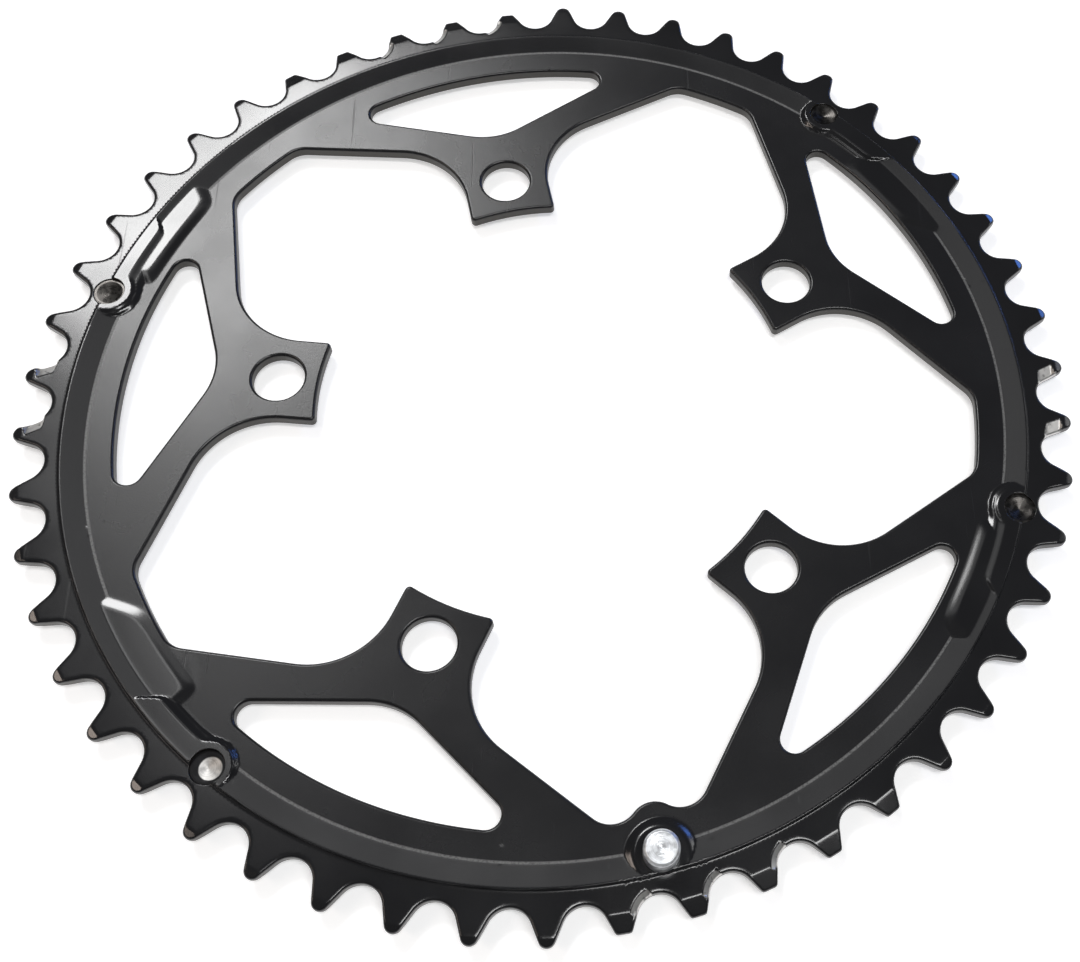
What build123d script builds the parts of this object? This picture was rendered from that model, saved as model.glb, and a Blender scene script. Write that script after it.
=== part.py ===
"""Outer chainring of a compact road double, in millimetres.

A stamped plate with fifty teeth, five bolt tabs and four raised shift pads, with one chain-drop
pin and four shift pins pressed into it.  The ring axis is Z, the outer face looks up, and the
origin is the centre of the bolt circle on the mounting face.
"""
import os
from math import acos, asin, atan2, cos, degrees, pi, radians, sin, sqrt

from build123d import *

# Chain and teeth: the pitch circle sets every radius of the rim
teeth = 50
chain_pitch = 12.7
roller_seat_r = 3.95
flank_lean = 25.8
flank_run = 3.5
tip_rise = 2.48
tip_half_w = 0.6
tooth_step = 360 / teeth
pitch_r = chain_pitch / 2 / sin(pi / teeth)
root_r = pitch_r - roller_seat_r
tip_r = pitch_r + tip_rise

# Shift teeth: two opposite groups with lower tips, long tip bevels and bevelled flanks
short_tip_drop = 0.9
short_first = 13
short_count = 5
hook_teeth = (13, 14, 15)
gate_teeth = (24, 25)
hook_bevel = (1.3, 1.1)
gate_bevel = (2.4, 1.2)
short_tip_r = tip_r - short_tip_drop

# Bolt circle, and the tooth phase that it sets
bolt_count = 5
bolt_circle_d = 110.0
bolt_hole_r = 5.05
bolt_angle = 30.0
bolt_step = 360 / bolt_count
tip_angle = bolt_angle + 2.2 - 4 * tooth_step
bolt_r = bolt_circle_d / 2

# Plate section: heights above the mounting face, and insets from the tooth roots.  The web turns up
# into a shallow dish that ends in a crest; a short steep fall and a gentle one lead down to the teeth
web_t = 2.3
tooth_t = 2.1
tooth_rise = 0.4
crest_rise = 0.9
crest_fall = 0.25
dish_inset = 7.3
crest_inset = 3.1
crest_w = 0.15
fall_w = 0.25
foot_inset = 1.1
tip_bevel_w = 1.3
tip_bevel_h = 0.45
short_bevel_w = 3.2
short_bevel_h = 1.0
tooth_z1 = web_t + tooth_rise
tooth_z0 = tooth_z1 - tooth_t
crest_z = web_t + crest_rise
dish_r = root_r - dish_inset
crest_in_r = root_r - crest_inset
crest_out_r = crest_in_r + crest_w
fall_r = crest_out_r + fall_w
foot_r = root_r - foot_inset
dish_fall = crest_rise / (crest_in_r - dish_r)
under_r = dish_r + tooth_z0 / dish_fall

# Tabs and arms hang from the bolt circle; lobes and windows keep a band inside the tooth roots
tab_reach = 8.1
tab_half_w = 8.9
tab_corner_r = 0.9
flare_inset = 2.5
flare_r = 15.3
lobe_inset = 13.0
knee_r = 5.0
window_inset = 12.6
window_lean = 21.9
window_stand_off = 11.7
window_root_r = 14.0
window_end_r = 2.6
tab_end_r = bolt_r - tab_reach
tab_side_x = bolt_r - flare_inset
window_root_x = bolt_r + window_stand_off
lobe_r = root_r - lobe_inset
window_r = root_r - window_inset

# Chain-drop pin on a raised boss in the middle of one lobe, and the bump on the lobe's edge beside it
drop_lobe = 3
drop_inset = 6.1
drop_pin_r = 3.2
drop_pin_h = 5.0
drop_pin_chamfer = 0.45
drop_shank_r = 2.2
drop_boss_margin = 1.7
drop_boss_slope = 1.7
bump_half_w = 6.0
bump_h = 2.2
bump_margin = 0.649
lobe_half_w = bump_half_w + bump_margin
drop_angle = bolt_angle + (drop_lobe + 0.5) * bolt_step
drop_r = root_r - drop_inset
drop_boss_r = drop_pin_r + drop_boss_margin

# Shift pads: insets from the tooth roots, and angles back from the pin, first the high flat beside
# the pin, then the lower flat behind it; each far end is skewed, in degrees per millimetre
high_slope = 2.3
low_slope = 1.8
high_skew = 0.65
outer_pad = dict(pin_angle=164.0, pin_inset=3.5, high_inset=6.2, high_back=11.0)
outer_pad.update(low_inset=(8.9, 4.7), low_back=(5.0, 17.4), low_skew=0.15)
inner_pad = dict(pin_angle=230.6, pin_inset=4.4, high_inset=7.3, high_back=10.8)
inner_pad.update(low_inset=(10.8, 5.4), low_back=(9.6, 23.0), low_skew=0.65)
half_turns = (0, 180)
pad_kinds = (outer_pad, inner_pad)
pads = [dict(kind, pin_angle=kind["pin_angle"] + turn) for kind in pad_kinds for turn in half_turns]
pad_z = crest_z
pad_out_r = crest_in_r + crest_w / 2

# Shift pins, pressed through the plate: a dished end sunk in the pad and a stub on the inner side
shift_pin_r = 3.1
shift_pin_sink = 0.7
shift_pin_rim = 0.55
shift_pin_dish = 0.3
shift_pin_reach = 1.6
shift_pin_chamfer = 0.4
pad_disc_margin = 1.1
shift_pin_z = pad_z - shift_pin_sink
pad_disc_r = shift_pin_r + pad_disc_margin
on_seat = (Align.CENTER, Align.CENTER, Align.MIN)


def polar(radius, angle):
    """Point at a radius and an angle in degrees."""
    return Vector(radius * cos(radians(angle)), radius * sin(radians(angle)))


def reach(start, heading, radius):
    """Point where a straight run from a start point meets a circle about the axis."""
    along = start.dot(heading)
    return start + heading * (sqrt(along**2 + radius**2 - start.dot(start)) - along)


def mirrored(point, side):
    """Point with its Y turned to the given side."""
    return Vector(point.X, side * point.Y)


def skewed_sector(r0, r1, a0, a1, skew_rate):
    """Closed outline of a ring sector with a skewed clockwise end, in the open line builder."""
    skew = skew_rate * (r1 - r0) / 2
    CenterArc((0, 0), r1, a0 - skew, a1 - a0 + skew)
    Line(polar(r1, a1), polar(r0, a1))
    CenterArc((0, 0), r0, a0 + skew, a1 - a0 - skew)
    Line(polar(r0, a0 + skew), polar(r1, a0 - skew))


def at_radius(shapes, radius):
    """Corners that lie at a radius from the axis."""
    return [shape for shape in shapes if abs(Vector(shape.X, shape.Y).length - radius) < 0.01]


# One tooth gap with its axis along X: roller seat, straight flanks, broken corners and half of each tip
lean = radians(flank_lean)
seat_end = Vector(pitch_r - roller_seat_r * sin(lean), roller_seat_r * cos(lean))
shoulder = seat_end + Vector(cos(lean), sin(lean)) * flank_run
tip_edge = Vector(tip_r, -tip_half_w).rotate(Axis.Z, tooth_step / 2)
tip_top = polar(tip_r, tooth_step / 2)
clear_r = tip_r + 3
tip_out = polar(clear_r, tooth_step / 2)
blank_r = tip_r + 1
blank_bore_r = tab_end_r - 5

with BuildSketch() as gap:
    with BuildLine():
        CenterArc((pitch_r, 0), roller_seat_r, 90 + flank_lean, 180 - 2 * flank_lean)
        for side in (1, -1):
            Polyline(*[mirrored(point, side) for point in (seat_end, shoulder, tip_edge, tip_top, tip_out)])
        Line(mirrored(tip_out, 1), mirrored(tip_out, -1))
    make_face()

# Star-shaped middle opening: five tabs with flared roots, lobes between them, and arms that touch the
# flare and the rounded knee where the lobe's edge ends
tab_corner = Vector(sqrt(tab_end_r**2 - tab_half_w**2), tab_half_w)
flare_centre = Vector(tab_side_x, tab_half_w + flare_r)
knee_centre = polar(lobe_r - knee_r, bolt_step / 2 - degrees(asin(lobe_half_w / lobe_r)))
span = knee_centre - flare_centre
arm_lean = degrees(acos((flare_r - knee_r) / span.length) - atan2(span.Y, span.X))
arm_dir = polar(1, 90 - arm_lean)
flare_mid = flare_centre + polar(flare_r, -45 - arm_lean / 2)
flare_end = flare_centre + polar(flare_r, -arm_lean)
knee = reach(flare_end, arm_dir, lobe_r)
knee_angle = degrees(atan2(knee.Y, knee.X))

# The bump with its axis along X: three arcs of one radius that leave and rejoin the lobe's edge
bump_sweep = 2 * atan2(bump_h, bump_half_w)
bump_arc_r = bump_half_w / (2 * sin(bump_sweep))
bump_foot = Vector(sqrt(lobe_r**2 - bump_half_w**2), bump_half_w)
bump_bend = bump_foot - Vector(1 - cos(bump_sweep / 2), sin(bump_sweep / 2)) * bump_arc_r
bump_turn = bump_foot - Vector(bump_h, bump_half_w) / 2
bump_apex = Vector(bump_foot.X - bump_h, 0)
bump_angle = degrees(atan2(bump_foot.Y, bump_foot.X))

with BuildSketch() as star:
    with BuildLine():
        for number in range(bolt_count):
            turn = bolt_angle + number * bolt_step
            ends = [mirrored(tab_corner, side).rotate(Axis.Z, turn) for side in (1, -1)]
            ThreePointArc(ends[0], polar(tab_end_r, turn), ends[1])
            if number == drop_lobe:
                edge_span = bolt_step / 2 - knee_angle - bump_angle
                CenterArc((0, 0), lobe_r, turn + knee_angle, edge_span)
                CenterArc((0, 0), lobe_r, drop_angle + bump_angle, edge_span)
                turns = [mirrored(bump_turn, side).rotate(Axis.Z, drop_angle) for side in (1, -1)]
                ThreePointArc(turns[0], bump_apex.rotate(Axis.Z, drop_angle), turns[1])
                for side, inflection in zip((1, -1), turns):
                    foot = mirrored(bump_foot, side).rotate(Axis.Z, drop_angle)
                    bend = mirrored(bump_bend, side).rotate(Axis.Z, drop_angle)
                    ThreePointArc(foot, bend, inflection)
            else:
                CenterArc((0, 0), lobe_r, turn + knee_angle, bolt_step - 2 * knee_angle)
            for side in (1, -1):
                run = [tab_corner, Vector(tab_side_x, tab_half_w), flare_mid, flare_end, knee]
                p = [mirrored(point, side).rotate(Axis.Z, turn) for point in run]
                Line(p[0], p[1])
                ThreePointArc(p[1], p[2], p[3])
                Line(p[3], p[4])
    make_face()
    fillet(at_radius(star.vertices(), tab_end_r), tab_corner_r)
    knees = [mirrored(knee, side).rotate(Axis.Z, bolt_angle + number * bolt_step)
             for number in range(bolt_count) for side in (1, -1)]
    fillet([star.vertices().sort_by_distance(corner)[0] for corner in knees], knee_r)

# One window with the bolt axis along X
window_end = reach(Vector(window_root_x, 0), polar(1, 90 - window_lean), window_r)
window_end_angle = degrees(atan2(window_end.Y, window_end.X))

with BuildSketch() as window:
    with BuildLine():
        CenterArc((0, 0), window_r, -window_end_angle, 2 * window_end_angle)
        Polyline(mirrored(window_end, 1), (window_root_x, 0), mirrored(window_end, -1))
    make_face()
    fillet(at_radius(window.vertices(), window_root_x), window_root_r)
    fillet(at_radius(window.vertices(), window_r), window_end_r)

# Cutters for the tooth bevels, each for a tooth whose axis is along X
with BuildPart() as tip_cutter:
    with BuildSketch(Plane.XZ):
        for z, way in ((tooth_z1, -1), (tooth_z0, 1)):
            with BuildLine():
                Polyline(
                    (tip_r - tip_bevel_w, z),
                    (tip_r + tip_bevel_w, z + way * 2 * tip_bevel_h),
                    (tip_r + tip_bevel_w, z),
                    close=True,
                )
            make_face()
    extrude(amount=roller_seat_r, both=True)

with BuildPart() as short_cutter:
    with BuildSketch(Plane.XZ):
        with BuildLine():
            Polyline(
                (short_tip_r - short_bevel_w, tooth_z1),
                (short_tip_r, tooth_z1 - short_bevel_h),
                (short_tip_r, tooth_z0),
                (clear_r, tooth_z0),
                (clear_r, tooth_z1),
                close=True,
            )
        make_face()
    extrude(amount=roller_seat_r, both=True)

flank_start = mirrored(seat_end, -1).rotate(Axis.Z, tooth_step / 2)
flank_in = polar(1, tooth_step / 2 - 90 - flank_lean)
flank_plane = Plane(flank_start + Vector(0, 0, tooth_z1), flank_in, flank_in.cross(Vector(0, 0, 1)))

flank_cutters = []
for width, depth in (hook_bevel, gate_bevel):
    with BuildPart() as flank_cutter:
        with BuildSketch(flank_plane):
            with BuildLine():
                Polyline((width, 0), (-width, -2 * depth), (-width, 0), close=True)
            make_face()
        extrude(amount=-2 * roller_seat_r)
    flank_cutters.append(flank_cutter.part)
hook_cutter = flank_cutters[0]
gate_cutter = mirror(flank_cutters[1], about=Plane.XZ)

# Raised discs inside the crest: the round end of each shift pad, and the boss of the chain-drop pin
disc_kinds = [(polar(root_r - pad["pin_inset"], pad["pin_angle"]), pad_disc_r, high_slope) for pad in pads]
disc_kinds.append((polar(drop_r, drop_angle), drop_boss_r, drop_boss_slope))
discs = []
for centre, flat_r, slope in disc_kinds:
    with BuildPart() as disc:
        with Locations(centre + Vector(0, 0, web_t)):
            Cone(flat_r + slope, flat_r, pad_z - web_t, align=on_seat)
        Cylinder(pad_out_r, 3 * pad_z, mode=Mode.INTERSECT)
    discs.append(disc.part)

os.makedirs("parts", exist_ok=True)

# Plate: web, dish, crest and tooth rim as one section turned about the axis
with BuildPart() as plate:
    with BuildSketch(Plane.XZ):
        with BuildLine():
            Polyline(
                (blank_bore_r, web_t),
                (dish_r, web_t),
                (crest_in_r, crest_z),
                (crest_out_r, crest_z),
                (fall_r, crest_z - crest_fall),
                (foot_r, tooth_z1),
                (blank_r, tooth_z1),
                (blank_r, tooth_z0),
                (under_r, tooth_z0),
                (dish_r, 0),
                (blank_bore_r, 0),
                close=True,
            )
        make_face()
    revolve(axis=Axis.Z)

    # Shift pads: sloped blocks raised on the outer face and pressed into the inner face
    for pad in pads:
        pin_span = degrees(shift_pin_r / (root_r - pad["pin_inset"]))
        low_r = [root_r - inset for inset in pad["low_inset"]]
        low_ends = [pad["pin_angle"] - back for back in pad["low_back"]]
        low_z = web_t + dish_fall * (low_r[1] - dish_r)
        low = (*low_r, low_ends[1], low_ends[0], pad["low_skew"], low_slope, low_z, 0)
        high_ends = (pad["pin_angle"] - pad["high_back"], pad["pin_angle"] + pin_span)
        high_r = (root_r - pad["high_inset"], pad_out_r)
        high = (*high_r, *high_ends, high_skew, high_slope, pad_z, 2 * pin_span)
        for r0, r1, a0, a1, skew, slope, z, _ in (low, high):
            spread = degrees(slope / r0)
            with BuildSketch(Plane.XY.offset(web_t)):
                with BuildLine():
                    skewed_sector(r0 - slope, r1, a0 - spread, a1 + spread, skew)
                make_face()
            with BuildSketch(Plane.XY.offset(z)):
                with BuildLine():
                    skewed_sector(r0, r1, a0, a1, skew)
                make_face()
            loft(ruled=True)
        for r0, r1, a0, a1, skew, slope, z, clear in (low, high):
            with BuildSketch(Plane.XY):
                with BuildLine():
                    skewed_sector(r0 - slope / 2, r1, a0, a1 - clear, skew)
                make_face()
            with BuildSketch(Plane.XY.offset(z - web_t)):
                with BuildLine():
                    skewed_sector(r0 + slope / 2, r1, a0 + pin_span, a1 - clear - pin_span, skew)
                make_face()
            loft(ruled=True, mode=Mode.SUBTRACT)
    add(discs)

    # Tooth gaps, star opening, windows, bolt holes and pin holes through the full height
    with BuildSketch(Plane.XY.offset(-1)):
        with PolarLocations(0, teeth, start_angle=tip_angle + tooth_step / 2):
            add(gap.sketch)
        add(star.sketch)
        with PolarLocations(0, bolt_count, start_angle=bolt_angle):
            add(window.sketch)
        with PolarLocations(bolt_r, bolt_count, start_angle=bolt_angle):
            Circle(bolt_hole_r)
        for pad in pads:
            with Locations(polar(root_r - pad["pin_inset"], pad["pin_angle"])):
                Circle(shift_pin_r)
        with Locations(polar(drop_r, drop_angle)):
            Circle(drop_shank_r)
    extrude(amount=crest_z + 2, mode=Mode.SUBTRACT)

    # Bevels: both faces of each tip, the long ones of the shift teeth, and single flanks
    with PolarLocations(0, teeth, start_angle=tip_angle):
        add(tip_cutter.part, mode=Mode.SUBTRACT)
    for turn in half_turns:
        for number in range(short_first, short_first + short_count):
            with PolarLocations(0, 1, start_angle=tip_angle + number * tooth_step + turn):
                add(short_cutter.part, mode=Mode.SUBTRACT)
        for numbers, cutter in ((hook_teeth, hook_cutter), (gate_teeth, gate_cutter)):
            for number in numbers:
                with PolarLocations(0, 1, start_angle=tip_angle + number * tooth_step + turn):
                    add(cutter, mode=Mode.SUBTRACT)

plate.part.label = "chainring_plate"
export_step(plate.part, "parts/chainring_plate.step")

# Chain-drop pin: stud on the outer face and a shank through the plate
with BuildPart() as drop_pin:
    with Locations(polar(drop_r, drop_angle)):
        with Locations((0, 0, pad_z)):
            Cylinder(drop_pin_r, drop_pin_h, align=on_seat)
        Cylinder(drop_shank_r, pad_z, align=on_seat)
    chamfer(drop_pin.edges().group_by(Axis.Z)[-1], drop_pin_chamfer)

drop_pin.part.label = "chain_drop_pin"
export_step(drop_pin.part, "parts/chain_drop_pin.step")

# Shift pins
for number, pad in enumerate(pads, start=1):
    place = polar(root_r - pad["pin_inset"], pad["pin_angle"])
    with BuildPart() as shift_pin:
        with BuildSketch(Plane.XZ):
            with BuildLine():
                Polyline(
                    (0, shift_pin_z - shift_pin_dish),
                    (shift_pin_r - shift_pin_rim, shift_pin_z),
                    (shift_pin_r, shift_pin_z),
                    (shift_pin_r, shift_pin_chamfer - shift_pin_reach),
                    (shift_pin_r - shift_pin_chamfer, -shift_pin_reach),
                    (0, -shift_pin_reach),
                    close=True,
                )
            make_face()
        revolve(axis=Axis.Z)
    placed = shift_pin.part.moved(Location((place.X, place.Y, 0)))
    placed.label = f"shift_pin_{number}"
    export_step(placed, f"parts/shift_pin_{number}.step")
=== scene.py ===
import math

import bpy
import numpy as np
from mathutils import Matrix, Vector, kdtree
from mathutils.geometry import delaunay_2d_cdt


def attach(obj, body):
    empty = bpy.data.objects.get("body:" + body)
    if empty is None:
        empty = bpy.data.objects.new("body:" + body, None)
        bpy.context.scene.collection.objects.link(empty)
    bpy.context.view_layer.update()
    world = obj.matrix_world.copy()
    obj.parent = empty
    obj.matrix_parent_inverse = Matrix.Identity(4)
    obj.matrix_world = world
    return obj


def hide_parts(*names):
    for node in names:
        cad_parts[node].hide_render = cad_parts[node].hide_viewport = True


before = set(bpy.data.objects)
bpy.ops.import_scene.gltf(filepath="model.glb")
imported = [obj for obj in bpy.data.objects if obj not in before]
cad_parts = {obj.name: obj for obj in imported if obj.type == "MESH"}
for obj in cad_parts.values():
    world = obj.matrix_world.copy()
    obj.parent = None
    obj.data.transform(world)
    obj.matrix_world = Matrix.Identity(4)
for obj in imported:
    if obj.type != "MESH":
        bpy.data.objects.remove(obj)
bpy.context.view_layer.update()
MM = 0.001

# Sizes of the ring, in millimetres and degrees, with angles counted from +X
TEETH = 50
STEP = 360 / TEETH
CHAIN_PITCH = 12.7
SEAT_R = 3.95
FLANK_LEAN = 25.8
PITCH_R = CHAIN_PITCH / 2 / math.sin(math.pi / TEETH)
ROOT_R = PITCH_R - SEAT_R
TIP_R = PITCH_R + 2.43
SHORT_R = TIP_R - 1.1
BOLT_COUNT = 5
BOLT_STEP = 360 / BOLT_COUNT
BOLT_R, BOLT_A, BOLT_HOLE_R = 55.0, 30.0, 5.05
TIP_A = BOLT_A + 2.2 - 4 * STEP

# Slopes of a tooth: of its flanks against the gap's axis, and against the tooth's own axis
HALF_STEP = math.radians(STEP / 2)
LEAN = math.radians(FLANK_LEAN)
TIP_LEAN = LEAN - HALF_STEP

# Shift teeth in two opposite groups, and their bevels, each given by its width and depth
OPPOSITE = (0, TEETH // 2)
SHORT = [n + half for n in range(13, 18) for half in OPPOSITE]
HOOK = [n + half for n in (13, 14, 15) for half in OPPOSITE]
GATE = [(n + half) % TEETH for n in (24, 25) for half in OPPOSITE]
TIP_BEVEL, SHORT_BEVEL = (1.6, 0.55), (3.2, 1.0)
HOOK_BEVEL, GATE_BEVEL = (1.3, 0.75), (2.4, 1.2)
BEVEL_SOFT = 0.05

# Where the flank bevels begin and end: by the turn about the root, or by the place along the tooth
HOOK_TURN, HOOK_END = (2, 18), 99.6
GATE_SPAN = (98.4, 101.0)
FACET_FADE, FACET_LIFT = 0.9, 1.2

# Middle opening and windows
TAB_END_R = BOLT_R - 8.1
TAB_SIDE_X = BOLT_R - 2.5
TAB_HALF_W, TAB_CORNER_R = 8.9, 0.9
FLARE_R, ARM_LEAN, KNEE_R = 15.3, 14.4, 5.0
LOBE_R = ROOT_R - 13.0
BUMP_LOBE, BUMP_HALF_W, BUMP_H = 3, 6.0, 2.2
WINDOW_R = ROOT_R - 12.6
WINDOW_ROOT_X = BOLT_R + 11.7
WINDOW_LEAN, WINDOW_END_R, WINDOW_ROOT_R = 21.9, 2.6, 14.0

# Section: heights above the mounting face, and the radii where it bends
WEB_Z, TOOTH_Z1, CREST_Z = 2.3, 2.7, 3.2
TOOTH_Z0 = TOOTH_Z1 - 2.1
DISH_R, CREST_IN = ROOT_R - 7.3, ROOT_R - 3.1
CREST_OUT, FOOT_R = ROOT_R - 2.98, ROOT_R - 2.7
FALL = (CREST_Z - WEB_Z) / (CREST_IN - DISH_R)

# Edges: the roll of the teeth, the radii where roll and bevels begin, and roundings (outer, inner face)
ROLL, ROLL_W = 0.13, 0.85
ROLL_FROM, BEVEL_FROM, UNDER_BEVEL_FROM = 95.5, 96.2, 97.3
TOOTH_ROUND, OPENING_ROUND, BORE_ROUND = (0.42, 0.2), (0.6, 0.15), (0.12, 0.1)
EDGE_STEPS = 4

# Pins: the drop pin on its boss, and the shift pins
DROP_A, DROP_R = 282.0, ROOT_R - 6.1
DROP_PIN_R, DROP_PIN_H, DROP_CHAMFER = 3.2, 5.0, 0.45
DROP_BORE_R, DROP_SHANK_R = 2.2, 2.18
BOSS_R, BOSS_SLOPE, BOSS_SINK, BOSS_REACH = 4.4, 2.6, 0.1, 9
PIN_R, PIN_GAP, PIN_SINK = 3.1, 0.02, 0.7
PIN_RIM, PIN_DISH, PIN_CHAMFER, PIN_REACH = 0.55, 0.55, 0.4, 1.6

# Shift pads: a high flat beside the pin and a lower one behind it; backs are degrees clockwise of the pin
OUTER_PAD = dict(
    pin=164.0,
    pin_r=ROOT_R - 3.5,
    high_r=ROOT_R - 5.3,
    high_back=11.0,
    high_run=(2.1, 2.6),
    low_r=(ROOT_R - 8.7, ROOT_R - 4.7),
    low_back=(4.0, 17.4),
    low_skew=0.3,
)
INNER_PAD = dict(
    pin=230.6,
    pin_r=ROOT_R - 4.4,
    high_r=ROOT_R - 6.6,
    high_back=10.8,
    high_run=(1.5, 1.2),
    low_r=(ROOT_R - 10.8, ROOT_R - 5.8),
    low_back=(9.0, 23.0),
    low_skew=0.65,
)
PADS = [dict(pad, pin=pad["pin"] + turn) for pad in (OUTER_PAD, INNER_PAD) for turn in (0, 180)]
PAD_REACH, PAD_IN_R = 34, 82
HIGH_SKEW, HIGH_MID_R, LOW_MID_R = 0.55, 92.5, 90.5
HIGH_END_STEEP, HIGH_PIN_STEEP, DISC_STEEP, LOW_END_STEEP = 2, 1.5, 2, 0.75
HIGH_END_SOFT, HIGH_PIN_SOFT, DISC_SOFT = 1.0, 0.8, 0.9
LOW_END_SOFT, LOW_PIN_SOFT, LOW_RUN = 2.0, 1.6, 3.4
PIN_DISC_R = 4.2
PAD_SINK, STAGE_OVERLAP = 0.12, 0.2
PAD_SOFT, CREST_FADE = 0.04, 0.2
PRESS_THROUGH = 0.85


# Plane geometry
def polar(r, a):
    """Point at a radius and an angle."""
    return np.array([r * math.cos(math.radians(a)), r * math.sin(math.radians(a))])


def turned(points, a):
    """Points turned about the axis by an angle."""
    c, s = math.cos(math.radians(a)), math.sin(math.radians(a))
    return np.asarray(points) @ np.array([[c, s], [-s, c]])


def arc(centre, r, a0, a1, count=60):
    """Points on an arc from one angle to another."""
    t = np.radians(np.linspace(a0, a1, count))
    return np.c_[centre[0] + r * np.cos(t), centre[1] + r * np.sin(t)]


def angle_of(point):
    """Angle of a point about the axis."""
    return math.degrees(math.atan2(point[1], point[0]))


def reach(start, lean, r):
    """Point where a run that leans outward from the +Y direction meets a circle about the axis."""
    heading = np.array([math.sin(math.radians(lean)), math.cos(math.radians(lean))])
    along = start @ heading
    return start + heading * (math.sqrt(along**2 + r**2 - start @ start) - along)


def dense(points, step=0.04):
    """Polyline resampled at an even step."""
    d = np.r_[0, np.cumsum(np.hypot(*np.diff(points, axis=0).T))]
    t = np.linspace(0, d[-1], max(3, int(d[-1] / step)))
    return np.c_[np.interp(t, d, points[:, 0]), np.interp(t, d, points[:, 1])]


def side_normals(points):
    """Unit vectors to the left of a polyline at its points."""
    t = np.gradient(points, axis=0)
    t /= np.hypot(*t.T)[:, None]
    return np.c_[-t[:, 1], t[:, 0]]


def fillet(a, b, r):
    """Polylines a and b, which meet at a corner, joined by an arc of radius r."""
    a, b = dense(a), dense(b)
    end, start = a[-1] - a[-2], b[1] - b[0]
    side = 1 if end[0] * start[1] - end[1] * start[0] > 0 else -1
    a_in, b_in = a + side_normals(a) * side * r, b + side_normals(b) * side * r
    d = np.hypot(a_in[:, None, 0] - b_in[None, :, 0], a_in[:, None, 1] - b_in[None, :, 1])
    i, j = np.unravel_index(np.argmin(d), d.shape)
    centre = (a_in[i] + b_in[j]) / 2
    a0, a1 = angle_of(a[i] - centre), angle_of(b[j] - centre)
    a1 = a0 + (a1 - a0 + 180) % 360 - 180
    return a[: i + 1], arc(centre, r, a0, a1, 24), b[j:]


def chain(runs, radii):
    """Closed outline from runs of points; radii[k] rounds the corner after run k, and zero leaves it."""
    runs = [np.asarray(run, float) for run in runs]
    count = len(runs)
    arcs = [None] * count
    for k in range(count):
        if radii[k]:
            runs[k], arcs[k], runs[(k + 1) % count] = fillet(runs[k], runs[(k + 1) % count], radii[k])
    out = []
    for run, corner in zip(runs, arcs):
        out.append(run)
        if corner is not None:
            out.append(corner)
    return np.vstack(out)


def thin(points, turn, length):
    """Closed outline with only the points that its bends and length need, counter-clockwise."""
    step, reach_out = 0.03, 4
    p = dense(np.vstack([points, points[:1]]), step)[:-1]
    if np.sum(p[:, 0] * np.roll(p[:, 1], -1) - p[:, 1] * np.roll(p[:, 0], -1)) < 0:
        p = p[::-1]
    chord = np.roll(p, -reach_out, 0) - np.roll(p, reach_out, 0)
    a = np.unwrap(np.arctan2(chord[:, 1], chord[:, 0]))
    bend = np.abs(np.diff(a, append=a[-1]))
    cost = np.cumsum(bend / math.radians(turn) + step / length)
    count = int(math.ceil(cost[-1]))
    keep = np.searchsorted(cost, np.arange(count) / count * cost[-1])
    return p[np.unique(np.clip(keep, 0, len(p) - 1))]


def inside(points, loop):
    """Which points lie inside a closed outline."""
    hit = np.zeros(len(points), bool)
    low, high = loop.min(0), loop.max(0)
    box = np.where(((points > low) & (points < high)).all(1))[0]
    x, y = points[box].T
    odd = np.zeros(len(box), bool)
    for (x0, y0), (x1, y1) in zip(loop, np.roll(loop, -1, 0)):
        if y0 != y1:
            odd ^= ((y0 > y) != (y1 > y)) & (x < x0 + (y - y0) * (x1 - x0) / (y1 - y0))
    hit[box] = odd
    return hit


DROP_XY = polar(DROP_R, DROP_A)


# Outlines of the plate
def tooth_outline():
    """Roller seats and straight flanks all round, with round tips, or flat ones on the short teeth."""
    seat_end = np.array([PITCH_R - SEAT_R * math.sin(LEAN), SEAT_R * math.cos(LEAN)])
    slope = math.tan(LEAN)
    apex = (seat_end[1] - seat_end[0] * slope) / (math.sin(HALF_STEP) - math.cos(HALF_STEP) * slope)
    tip_round = (apex - TIP_R) / (1 / math.sin(TIP_LEAN) - 1)
    sweep = 90 - math.degrees(TIP_LEAN)
    round_tip = arc((apex - tip_round / math.sin(TIP_LEAN), 0), tip_round, -sweep, sweep, 40)
    y = math.tan(TIP_LEAN) * (apex - SHORT_R)
    corner = [[SHORT_R - 0.35, -y - 0.05], [SHORT_R - 0.1, -y + 0.16], [SHORT_R, -y + 0.5]]
    short_tip = np.array(corner + [[u, -v] for u, v in corner[::-1]])
    flank_foot = turned([seat_end * [1, -1]], STEP / 2)[0]
    seat_a = 90 - FLANK_LEAN
    seat = arc((PITCH_R, 0), SEAT_R, 180 + seat_a, 180 - seat_a, 30)
    runs = []
    for n in range(TEETH):
        tip = short_tip if n in SHORT else round_tip
        runs.append(turned(np.vstack([flank_foot * [1, -1], tip, flank_foot]), TIP_A + n * STEP))
        runs.append(turned(seat[1:-1], TIP_A + (n + 0.5) * STEP))
    return np.vstack(runs)


def bump_outline():
    """The bump on a lobe's edge with its axis along X: three arcs of one radius, from -Y to +Y."""
    sweep = 2 * math.atan2(BUMP_H, BUMP_HALF_W)
    r = BUMP_HALF_W / (2 * math.sin(sweep))
    base = math.sqrt(LOBE_R**2 - BUMP_HALF_W**2)
    t = np.linspace(0, sweep, 20)
    foot = np.c_[base - r * (1 - np.cos(t)), -BUMP_HALF_W + r * np.sin(t)]
    crown = np.c_[base - BUMP_H + r * (1 - np.cos(t[::-1])), -r * np.sin(t[::-1])]
    half = np.vstack([foot, crown[1:]])
    return np.vstack([half, (half * [1, -1])[::-1][1:]])


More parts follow.
